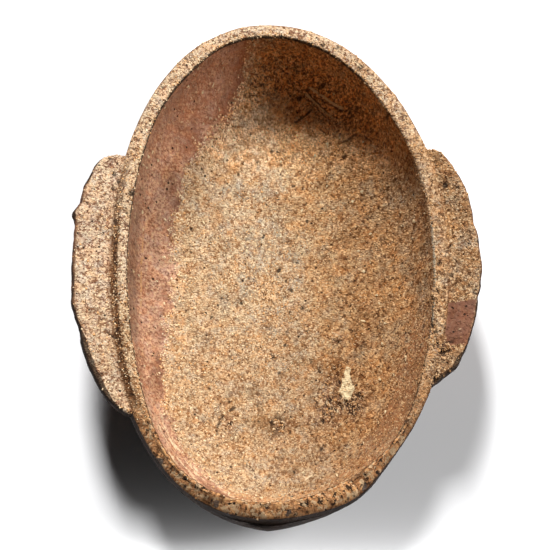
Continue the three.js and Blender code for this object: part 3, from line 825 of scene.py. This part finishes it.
class Maker:
    # builds one material's nodes
    def __init__(self, name):
        self.material = bpy.data.materials.new(name)
        self.material.use_nodes = True
        self.tree = self.material.node_tree
        self.tree.nodes.clear()
        # places on the clay, with heights halved so that grains keep their size as the walls steepen
        place = self.node("ShaderNodeTexCoord", {}, {}, "Object")
        self.position = self.node("ShaderNodeVectorMath", {"operation": "MULTIPLY"},
                                  {0: place, 1: (1, 1, 0.5)})

    def moved(self, place, shift):
        # a place shifted alike along all three axes
        return self.node("ShaderNodeVectorMath", {"operation": "ADD"}, {0: place, 1: (shift,) * 3})

    def node(self, kind, settings, sockets, output=0):
        made = self.tree.nodes.new(kind)
        for name, value in settings.items():
            setattr(made, name, value)
        for name, value in sockets.items():
            if isinstance(value, Wire):
                self.tree.links.new(value.socket, made.inputs[name])
            else:
                made.inputs[name].default_value = value
        return Wire(self, made.outputs[output]) if made.outputs else made

    def grain(self, size, detail=2.0, roughness=0.55, shift=0.0):
        # noise with features of a size in mm
        at = self.moved(self.position, shift) if shift else self.position
        return self.node("ShaderNodeTexNoise", {}, {"Vector": at, "Scale": 1 / (size * mm),
                                                    "Detail": detail, "Roughness": roughness})

    def pits(self, spacing, radius, shift):
        # small round holes, one in each cell, where the surface happens to cut them
        at = self.moved(self.position, shift)
        away = self.node("ShaderNodeTexVoronoi", {}, {"Vector": at, "Scale": 1 / (spacing * mm)})
        return 1 - self.ease(away, radius * 0.75 / spacing, radius * 1.25 / spacing)

    def stroke(self, x0, y0, x1, y1, halfWidth):
        # 1 along a thin wavering line on the plan, fading at its ends; lengths in mm
        local = self.node("ShaderNodeMapping", {"vector_type": "TEXTURE"}, {
            "Vector": self.position, "Location": (x0 * mm, y0 * mm, 0),
            "Rotation": (0, 0, math.atan2(y1 - y0, x1 - x0)), "Scale": (mm, mm, mm)})
        along = self.node("ShaderNodeSeparateXYZ", {}, {0: local})
        waver = (self.grain(1.6, 1.0, 0.5, 0.9) - 0.5) * 0.8
        aside = self.node("ShaderNodeMath", {"operation": "ABSOLUTE"}, {0: along.other("Y") + waver})
        length = math.hypot(x1 - x0, y1 - y0)
        ends = self.ease(along, -0.3, 0.8) * (1 - self.ease(along, length - 0.8, length + 0.3))
        return (1 - self.ease(aside, halfWidth * 0.7, halfWidth * 1.4)) * ends

    def nearTo(self, value, place, inner, outer):
        # 1 where a value lies within inner of a place, fading to 0 at outer
        away = self.node("ShaderNodeMath", {"operation": "ABSOLUTE"}, {0: value - place})
        return 1 - self.ease(away, inner, outer)

    def streaks(self, along, across, alongScale, acrossScale, shift):
        # noise drawn out along the rim or across it
        at = self.node("ShaderNodeCombineXYZ", {},
                       {"X": along * alongScale, "Y": across * acrossScale, "Z": shift})
        return self.node("ShaderNodeTexNoise", {},
                         {"Vector": at, "Scale": 1.0, "Detail": 2.0, "Roughness": 0.6})

    def stones(self, size, shift=0.0):
        # close-packed cells of a size in mm with wavering edges: distance from a cell's middle, and two
        # random values that differ from cell to cell
        waver = self.node("ShaderNodeTexNoise", {}, {
            "Vector": self.position, "Scale": 1 / (size * 1.3 * mm), "Detail": 1.0}).other("Color")
        push = self.node("ShaderNodeVectorMath", {"operation": "MULTIPLY_ADD"}, {
            0: waver, 1: (size * 1.6 * mm,) * 3, 2: self.position})
        at = self.moved(push, shift)
        cell = self.node("ShaderNodeTexVoronoi", {}, {"Vector": at, "Scale": 1 / (size * mm)})
        parts = self.node("ShaderNodeSeparateColor", {}, {0: cell.other("Color")})
        return cell, parts, parts.other("Green")

    def ease(self, value, start, end):
        return self.node("ShaderNodeMapRange", {"interpolation_type": "SMOOTHSTEP"},
                         {"Value": value, "From Min": start, "From Max": end})

    def mix(self, first, second, share, blend="MIX"):
        return self.node("ShaderNodeMix", {"data_type": "RGBA", "blend_type": blend},
                         {0: share, 6: first, 7: second}, 2)

    def shade(self, colour, name, share=1.0):
        # the colour times one of the clay's shades
        return self.mix(colour, clayShades[name], share, "MULTIPLY")

    def dapple(self, colour, tone, grain, edges, share):
        # lays a tone on where noise of a size, detail, roughness and shift rises from edge to edge
        return self.mix(colour, tone, self.ease(self.grain(*grain), *edges) * share)

    def mask(self, name):
        return self.node("ShaderNodeAttribute", {"attribute_name": name}, {}, "Fac")

    def finish(self, colour, roughness, height, bumpDistance, bumpStrength=1.0):
        bump = self.node("ShaderNodeBump", {}, {"Strength": bumpStrength, "Distance": bumpDistance * mm,
                                                "Height": height})
        shader = self.node("ShaderNodeBsdfPrincipled", {}, {
            "Base Color": colour, "Roughness": roughness, "Specular IOR Level": 0.2, "Normal": bump})
        self.node("ShaderNodeOutputMaterial", {}, {"Surface": shader})
        return self.material


def paint(red, green, blue):
    # colour as read off a screen, 0 to 255, in the linear values that a shader takes
    return tuple(((c / 255 + 0.055) / 1.055) ** 2.4 if c > 10 else c / 255 / 12.92
                 for c in (red, green, blue)) + (1.0,)


clayColours = {
    "clay": paint(124, 82, 46),        # the body under the crust
    "buff": paint(196, 164, 126),
    "cream": paint(222, 196, 158),
    "ochre": paint(200, 150, 98),
    "rust": paint(192, 134, 86),
    "grey": paint(174, 162, 140),
    "palest": paint(226, 202, 176),
    "warmBrown": paint(140, 100, 62),
    "brown": paint(98, 60, 30),
    "deepBrown": paint(64, 36, 15),
    "redBrown": paint(122, 80, 60),
    "stain": paint(116, 72, 50),
    "speck": paint(34, 21, 12),
    "bare": paint(170, 128, 104),
    "bareRed": paint(148, 104, 80),
    "soot": paint(104, 86, 72),
    # painted shade for the band below the mouth beside the left ear
    "outside": paint(96, 66, 46),
    "sooted": paint(13, 8, 5),
    # near-black painted shade for the outside's near end
    "slate": paint(70, 66, 64),
    "lime": paint(224, 202, 160),
}

# What a colour is multiplied by, for red, green and blue.
clayShades = {
    "dimmed": (0.88, 0.88, 0.88, 1.0),
    "paler": (1.5, 1.5, 1.5, 1.0),
    "orange": (1.08, 0.98, 0.84, 1.0),
    "clouded": (0.64, 0.61, 0.55, 1.0),
    "redder": (1.12, 0.95, 0.80, 1.0),
    "greyer": (0.94, 1.0, 1.12, 1.0),
    "smeared": (0.62, 0.52, 0.42, 1.0),
    # brightening for painted light
    "paintedLighter": (1.9, 1.9, 1.9, 1.0),
}


def firedClayWithCrust():
    make = Maker("firedClayWithCrust")
    tint = clayColours
    bare, dark = make.mask("bare"), make.mask("dark")
    pale, brown, stain = make.mask("pale"), make.mask("brown"), make.mask("stain")
    x = make.node("ShaderNodeSeparateXYZ", {}, {0: make.position}, "X")
    warm = make.ease(x * 1000 + (make.grain(14.0) - 0.5) * 50, -18.0, 36.0)
    rim = make.mask("lipPlace") * 12 - 6

    # body under the crust
    body = make.dapple(tint["clay"], tint["brown"], (2.0, 3.0, 0.6, 0.2), (0.5, 0.7), 0.6)
    body = make.mix(body, tint["brown"], brown * 0.5)
    # where it is bare: pinkish brown, redder in places, finely mottled
    bareColour = make.dapple(tint["bare"], tint["bareRed"], (9.0, 3.0, 0.6, 0.7), (0.44, 0.66), 0.8)
    bareColour = make.mix(bareColour, tint["redBrown"], brown)
    mottle = make.grain(0.7, 4.0, 0.75, 0.8)
    light = make.ease(mottle, 0.50, 0.62) * 0.7 * (1 - brown * 0.85)
    bareColour = make.mix(bareColour, tint["buff"], light)
    deep = make.ease(1 - mottle, 0.50, 0.62) * 0.75 * (1 - brown * 0.6)
    bareColour = make.mix(bareColour, tint["brown"], deep)
    # paler towards the lip, except at the far end
    paler = make.ease(rim, -8.5, -2.5) * (1 - make.ease(x.other("Y") * 1000, 20.0, 40.0))
    bareColour = make.mix(make.shade(bareColour, "dimmed"), make.shade(bareColour, "paler"),
                          paler * (1 - brown) * 0.8)
    body = make.mix(body, bareColour, bare)
    body = make.mix(body, tint["ochre"], make.mask("ochre") * 0.6)
    body = make.mix(body, tint["stain"], stain * 0.8)

    # crust of close-set grains, each with its own shade; where few stick, the body shows between
    cell, chance, shade = make.stones(0.56)
    finer, finerChance, finerShade = make.stones(0.37, 0.3)
    cluster = make.grain(2.6, 2.0, 0.6, 0.3)
    density = make.mask("sandiness") * (cluster * 0.9 + 0.62)
    sits = make.ease(density - chance, -0.04, 0.04)
    finerSits = make.ease(density - finerChance, -0.04, 0.04)
    crustColour = make.mix(tint["buff"], tint["warmBrown"], warm * 0.55 + brown * 0.35)
    greyCloud = make.ease(make.grain(6.0, 1.6, 0.55, 0.1), 0.44, 0.62) * 0.55
    crustColour = make.mix(crustColour, tint["grey"], greyCloud + make.mask("greyFloor") * 0.5)
    crustColour = make.dapple(crustColour, tint["ochre"], (4.6, 1.6, 0.55, 0.2), (0.46, 0.66), 0.6)
    crustColour = make.dapple(crustColour, tint["warmBrown"], (3.8, 2.0, 0.6, 0.3), (0.50, 0.68), 0.65)
    crustColour = make.mix(crustColour, tint["cream"], pale * 0.45)
    browner = make.ease(warm * 0.6 + brown * 0.7, 0.1, 0.9)
    lightGrain = make.mix(tint["cream"], tint["ochre"], browner * 0.35)
    darkGrain = make.mix(tint["brown"], tint["deepBrown"], browner * 0.8)
    flecked = make.mask("flecked")
    brightest = 0.68 + flecked * 0.14 + browner * 0.1
    coarse = make.mix(crustColour, lightGrain, make.ease(shade, 0.5, 0.9) * brightest)
    darkest = 0.64 + flecked * 0.2 + browner * 0.2
    coarse = make.mix(coarse, darkGrain, make.ease(1 - shade, 0.74, 0.92) * darkest)
    coarse = make.mix(coarse, body, make.ease(cell, 0.50, 0.74) * 0.6)
    small = make.mix(crustColour, lightGrain, make.ease(finerShade, 0.55, 0.9) * brightest)
    small = make.mix(small, darkGrain, make.ease(1 - finerShade, 0.72, 0.9) * (0.68 + browner * 0.3))
    small = make.mix(small, body, make.ease(finer, 0.50, 0.74) * 0.6)
    colour = make.mix(body, small, finerSits)
    colour = make.mix(colour, coarse, sits)
    flecks = make.grain(0.8, 2.0, 0.65, 0.5)
    colour = make.dapple(colour, tint["rust"], (1.8, 3.0, 0.65, 1.5), (0.52, 0.62), flecked * 0.35)
    clusters = (make.grain(3.0, 2.0, 0.6, 1.9) - 0.5) * 0.3
    fleckColour = make.mix(tint["brown"], tint["deepBrown"], browner * 0.8)
    fleckColour = make.mix(fleckColour, tint["stain"], pale * 0.6)
    leftEar = make.mask("leftEar")
    colour = make.mix(colour, tint["palest"], flecked * pale * 0.28 + leftEar * 0.16)
    worms = make.nearTo(make.grain(1.9, 1.0, 0.5, 2.7), 0.5, 0.012, 0.05)
    worms = worms * make.ease(make.grain(4.5, 2.0, 0.6, 2.9), 0.40, 0.56)
    colour = make.mix(colour, fleckColour, worms * leftEar * 0.75)
    colour = make.shade(colour, "orange", make.mask("orange"))
    clouds = make.ease(make.grain(3.4, 2.0, 0.55, 3.1), 0.48, 0.62)
    colour = make.shade(colour, "clouded", clouds * (0.42 - pale * 0.1))
    colour = make.dapple(colour, tint["stain"], (1.5, 3.0, 0.65, 3.4), (0.57, 0.64), leftEar * 0.8)
    redClouds = make.ease(make.grain(2.6, 1.5, 0.55, 3.6), 0.48, 0.64)
    colour = make.shade(colour, "redder", redClouds * 0.55)
    greyClouds = make.ease(make.grain(2.2, 1.5, 0.55, 3.8), 0.48, 0.62)
    colour = make.shade(colour, "greyer", greyClouds * 0.8)
    fleckShare = 0.1 + flecked * 0.74 + browner * 0.12
    fleckPlaces = make.ease(flecks + (clusters + 0.025) * flecked, 0.57, 0.62)
    colour = make.mix(colour, fleckColour, fleckPlaces * fleckShare)
    farWall = make.mask("farWall")
    colour = make.dapple(colour, tint["speck"], (0.8, 4.0, 0.8, 1.7), (0.48, 0.54), farWall * 0.85)
    colour = make.dapple(colour, tint["ochre"], (0.6, 3.0, 0.75, 1.8), (0.56, 0.60), farWall * 0.95)
    colour = make.shade(colour, "smeared", make.mask("smear"))
    # painted light on the far part of the inner wall and the far floor
    colour = make.shade(colour, "paintedLighter", make.mask("dusty"))
    holes = make.pits(3.3, 0.28, 0.11) + make.pits(2.6, 0.2, 0.23) + make.pits(1.7, 0.13, 0.37) * 0.7

    # near the rim: streaks that follow it inside, and short ticks across the near lip
    around = make.mask("around")
    wipes, wiped = make.streaks(around, rim, 55.0, 1.8, 0.3), make.mask("wiped")
    colour = make.mix(colour, tint["cream"], make.ease(wipes, 0.54, 0.66) * wiped * 0.75)
    colour = make.mix(colour, tint["bareRed"], make.ease(1 - wipes, 0.54, 0.66) * wiped * 0.5)
    nearLip = make.mask("nearLip")
    ticks = make.streaks(around, rim, 330.0, 0.5, 0.7)
    colour = make.mix(colour, tint["rust"], nearLip * 0.6)
    colour = make.mix(colour, tint["brown"], make.ease(ticks, 0.54, 0.60) * nearLip * 0.7)
    colour = make.mix(colour, tint["ochre"], make.ease(1 - ticks, 0.54, 0.61) * nearLip * 0.8)
    colour = make.dapple(colour, tint["deepBrown"], (3.2, 3.0, 0.65, 2.3), (0.56, 0.64), nearLip * 0.6)
    colour = make.dapple(colour, tint["speck"], (1.3, 3.0, 0.65, 1.4), (0.56, 0.60), nearLip * 0.95)
    colour = make.dapple(colour, tint["buff"], (1.7, 3.0, 0.65, 2.5), (0.54, 0.59), nearLip * 0.8)

    # painted shade in the groove beside the left ear and on the ear beside it, the line at the mouth's
    # edge and the orange line below it
    wavyRim = rim + (make.grain(1.6, 2.0, 0.5, 0.4) - 0.5) * 1.0
    grooved = make.mask("grooved")
    grooveAt = marks["groove"][0]
    besideGrooveShade = make.nearTo(wavyRim, grooveAt + 0.5, 0.5, 1.6) * grooved
    colour = make.mix(colour, tint["brown"], besideGrooveShade * 0.5)
    groove = make.nearTo(wavyRim, grooveAt, 0.45, 1.05) * grooved
    colour = make.mix(colour, tint["brown"], groove * 0.85)
    colour = make.dapple(colour, tint["speck"], (1.0, 2.0, 0.6, 1.6), (0.47, 0.56), groove * 0.85)
    orangeLine = make.nearTo(wavyRim, -2.7, 0.10, 0.3) * make.mask("band")
    colour = make.dapple(colour, tint["ochre"], (2.5, 2.0, 0.5, 2.1), (0.42, 0.55), orangeLine * 0.7)
    greyLine = make.nearTo(wavyRim, 0.2, 0.15, 0.45) * make.mask("greyEdge")
    colour = make.mix(colour, tint["grey"], greyLine * 0.7)

    # outside and underside: dark clay with a thin film of dirt, and near-black painted shade towards the
    # near end and under the near parts of the ears
    film = make.ease(make.grain(6.0, 4.0, 0.65, 1.1), 0.42, 0.62)
    outerColour = make.mix(tint["outside"], tint["redBrown"], film * 0.4)
    outerColour = make.mix(outerColour, tint["buff"], finerSits * 0.12)
    outerColour = make.mix(outerColour, tint["sooted"], make.mask("sooted") * (0.82 + film * 0.13))
    colour = make.mix(colour, outerColour, make.ease(make.mask("outer"), 0.2, 0.7))

    # painted shade: the grey band below the mouth beside the left ear
    colour = make.mix(colour, tint["soot"], make.mask("soot") * 0.42)
    # painted shade: a thin dark line along the mouth's edge
    edgePlace = rim + (make.grain(1.2, 2.0, 0.5, 0.6) - 0.5) * 0.35
    edgeLine = make.nearTo(edgePlace, 0.05, 0.08, 0.30) * make.mask("edgeLine")
    colour = make.mix(colour, tint["speck"], edgeLine * 0.85)
    # painted shade on the lip's rounded outer edge
    colour = make.mix(colour, tint["brown"], make.mask("roundEdge") * 0.7)
    # painted shade along the ears' outer edges
    colour = make.mix(colour, tint["speck"], make.ease(make.mask("wornEdge"), 0.25, 0.7) * 0.85)
    colour = make.mix(colour, tint["slate"], make.ease(make.mask("smoked"), 0.3, 0.7) * 0.8)
    colour = make.mix(colour, tint["redBrown"], make.mask("rough") * 0.65)
    colour = make.mix(colour, tint["speck"], make.ease(dark, 0.15, 0.85) * 0.85)
    colour = make.mix(colour, tint["speck"], holes * 0.9)
    # dark lines first, so that the light ones lie over them
    for x0, y0, x1, y1, halfWidth, height, darkness in sorted(marks["lines"], key=lambda line: -line[-1]):
        mark = make.stroke(x0, y0, x1, y1, halfWidth) * (1 - make.mask("outer"))
        lineColour = tint["speck"] if darkness > 0 else tint["cream"]
        colour = make.mix(colour, lineColour, mark * abs(darkness) * 0.75)
    colour = make.mix(colour, tint["cream"], make.ease(make.mask("light"), 0.2, 0.9) * 0.7)
    limeColour = make.dapple(tint["lime"], tint["ochre"], (0.8, 2.0, 0.6, 1.2), (0.52, 0.7), 0.6)
    colour = make.mix(colour, limeColour, make.ease(make.mask("lime"), 0.3, 0.6))

    domes = sits * (1 - make.ease(cell, 0.1, 0.65))
    domes = domes + finerSits * (1 - make.ease(finer, 0.1, 0.65)) * 0.6
    height = domes * 0.6 - make.ease(flecks, 0.5, 0.64) * 0.5 + mottle * 0.25 - holes * 1.2
    roughness = 0.93 - bare * 0.12
    return make.finish(colour, roughness, height, 0.30)


def sandStone():
    make = Maker("sandStone")
    tint = clayColours
    tone = make.mask("tone")
    x = make.node("ShaderNodeSeparateXYZ", {}, {0: make.position}, "X")
    warm = make.ease(x * 1000, -18.0, 36.0)
    colour = make.mix(tint["warmBrown"], tint["buff"], make.ease(tone, 0.15, 0.35))
    colour = make.mix(colour, tint["ochre"], make.ease(tone, 0.40, 0.50))
    colour = make.mix(colour, tint["cream"], make.ease(tone, 0.60, 0.80) * (1 - warm * 0.4))
    colour = make.mix(tint["brown"], colour, make.ease(tone, 0.05, 0.12))
    colour = make.mix(colour, tint["warmBrown"], warm * 0.5)
    return make.finish(colour, make.grain(0.4) * 0.2 + 0.78, make.grain(0.2, 1.0), 0.05, 0.5)


def paleFloor():
    make = Maker("paleFloor")
    cloud = make.grain(90.0, 2.0)
    colour = make.mix(paint(231, 231, 232), paint(228, 228, 229), cloud)
    return make.finish(colour, 0.9, cloud, 0.01, 0.1)


print("modelling the dish")
dishPiece, dishPoints, dishMasks, dishZone = makeDish()
dishPiece.data.materials.append(firedClayWithCrust())
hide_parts("eared_dish")
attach(dishPiece, "root")

print("scattering the sand")
dishNormals = pointNormals(dishPiece.data)
stone = sandStone()
for name, settings, weigh in (("sandGrains", sand, sandWeight), ("coarseCrumbs", crumb, crumbWeight)):
    weight = weigh(dishPoints, dishMasks, dishZone)
    stonePiece = scatter(name, settings, weight, dishPoints, dishNormals)
    stonePiece.data.materials.append(stone)
    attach(stonePiece, "root")

# Studio: lengths in mm, angles in degrees. Azimuth is counted from the far side towards the right.
studio = {
    "imageSize": 550,
    "elevation": 73.5,
    "distance": 900.0,
    "aim": (1.77, 2.33, 16.7),
    "pixelsPerMm": 3.95,
    "floorSize": 6000.0,
    "lightDistance": 2500.0,
    "backLight": {"azimuth": -9.8, "elevation": 50.4, "strength": 5.55,
                  "width": 430.0, "height": 950.0},
    "rightLight": {"azimuth": 84.0, "elevation": 42.0, "strength": 2.5,
                   "width": 900.0, "height": 900.0},
    "frontCard": {"place": (0.0, -73.0, 7.0), "size": (120.0, 6.0), "brightness": 3.9},
    "sky": 0.009,
}


def studioFloor():
    half = studio["floorSize"] / 2
    corners = np.array([(-half, -half, 0), (half, -half, 0), (half, half, 0), (-half, half, 0)], float)
    piece = meshObject("studioFloor", corners, [(0, 1, 2, 3)])
    piece.data.materials.append(paleFloor())


def studioLight(name, settings):
    # a lit panel that faces the dish; strength is the light that it throws there in W/m2
    away = studio["lightDistance"] * mm
    lamp = bpy.data.lights.new(name, "AREA")
    lamp.shape = "RECTANGLE"
    lamp.size, lamp.size_y = settings["width"] * mm, settings["height"] * mm
    lamp.energy = settings["strength"] * math.pi * away ** 2
    up, turn = math.radians(settings["elevation"]), math.radians(settings["azimuth"])
    piece = bpy.data.objects.new(name, lamp)
    level = away * math.cos(up)
    piece.location = (level * math.sin(turn), level * math.cos(turn), away * math.sin(up))
    piece.rotation_euler = (up - math.pi / 2, 0, -turn)
    bpy.context.scene.collection.objects.link(piece)


def frontCard(settings):
    # a low strip in front of the dish that shines down and fades the near end of the shadow
    lamp = bpy.data.lights.new("frontCard", "AREA")
    lamp.shape = "RECTANGLE"
    lamp.size, lamp.size_y = (length * mm for length in settings["size"])
    lamp.energy = settings["brightness"] * math.pi * lamp.size * lamp.size_y
    piece = bpy.data.objects.new("frontCard", lamp)
    piece.location = [length * mm for length in settings["place"]]
    bpy.context.scene.collection.objects.link(piece)


def studioCamera():
    # stands on the near side, tilted down at the aim; the lens gives the photo's pixels per mm there
    tilt = math.radians(studio["elevation"])
    aim = np.array(studio["aim"])
    spot = aim + studio["distance"] * np.array([0, -math.cos(tilt), math.sin(tilt)])
    data = bpy.data.cameras.new("photoCamera")
    data.sensor_width = 36.0
    data.lens = data.sensor_width * studio["pixelsPerMm"] * studio["distance"] / studio["imageSize"]
    data.clip_end = 20.0
    camera = bpy.data.objects.new("photoCamera", data)
    camera.location = spot * mm
    camera.rotation_euler = (math.pi / 2 - tilt, 0, 0)
    bpy.context.scene.collection.objects.link(camera)
    bpy.context.scene.camera = camera


def studioSky():
    world = bpy.data.worlds.new("studioSky")
    world.use_nodes = True
    world.node_tree.nodes["Background"].inputs["Color"].default_value = (1, 1, 1, 1)
    world.node_tree.nodes["Background"].inputs["Strength"].default_value = studio["sky"]
    bpy.context.scene.world = world


print("setting the studio")
studioFloor()
studioLight("backLight", studio["backLight"])
studioLight("rightLight", studio["rightLight"])
frontCard(studio["frontCard"])
studioCamera()
studioSky()
bpy.context.scene.view_settings.view_transform = "Standard"
